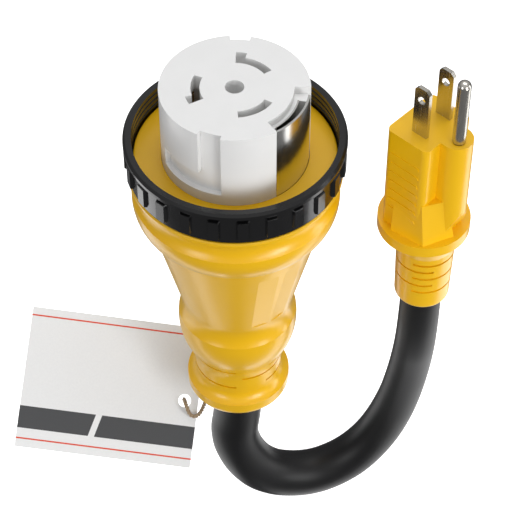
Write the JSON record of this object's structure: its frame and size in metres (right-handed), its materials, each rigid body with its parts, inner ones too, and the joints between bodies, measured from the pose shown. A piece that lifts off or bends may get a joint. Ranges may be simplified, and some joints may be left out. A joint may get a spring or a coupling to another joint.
{
  "type": "power adapter dogbone",
  "caption": "Short adapter lead with a large round locking connector on one end of a thick curved cable, a flat-blade plug on the other, a black lock ring and a card tag on twine.",
  "frame": {"origin": "centre of the connector's front face, where it seats in the inlet", "axes": "+Z out of the connector's face along its axis, +X from the connector towards the plug, +Y to the back; the connector, boot and cable hang below the origin"},
  "size_m": [0.1749, 0.0786, 0.2444],
  "materials": {
    "nose_white": "semi-gloss moulded nylon",
    "chrome_shell": "bright plating",
    "contact_brass": "bright",
    "block_black": "satin",
    "screw_steel": "zinc plated",
    "body_yellow": "glossy moulded vinyl",
    "ring_black": "glossy",
    "cable_black": "satin jacket",
    "wire_black": "satin insulation",
    "wire_white": "satin insulation",
    "wire_green": "satin insulation",
    "copper": "bare stranded copper",
    "carrier_black": "satin",
    "blade_nickel": "nickel plated",
    "tag_card": "coated white card",
    "twine": "twisted cotton"
  },
  "bodies": {
    "adapter": {"contact_housing": "nose_white", "contact_x": "contact_brass", "contact_y": "contact_brass", "contact_neutral": "contact_brass", "ground_shell": "chrome_shell", "ground_clip": "contact_brass", "terminal_block": "block_black", "hot_bridge": "contact_brass", "housing_screws": "screw_steel", "connector_body": "body_yellow", "ring_retainer": "body_yellow", "connector_boot": "body_yellow", "cable": "cable_black", "jacket_ends": "cable_black", "hot_wire": "wire_black", "neutral_wire": "wire_white", "ground_wire": "wire_green", "copper_cores": "copper", "plug_body": "body_yellow", "plug_boot": "body_yellow", "blade_carrier": "carrier_black", "line_blade": "blade_nickel", "neutral_blade": "blade_nickel", "ground_pin": "blade_nickel"},
    "ring": {"lock_ring": "ring_black"},
    "tag": {"hang_tag": "tag_card", "tag_twine": "twine"}
  },
  "joints": [
    {"name": "lock_ring_spin", "type": "hinge", "parent": "adapter", "child": "ring", "pos_m": [0, 0, -0.0298], "axis": [0, 0, 1], "continuous": true},
    {"name": "tag_swing", "type": "hinge", "parent": "adapter", "child": "tag", "pos_m": [0, 0, -0.167], "axis": [0, 0, 1], "range_deg": [-75, 75]}
  ]
}
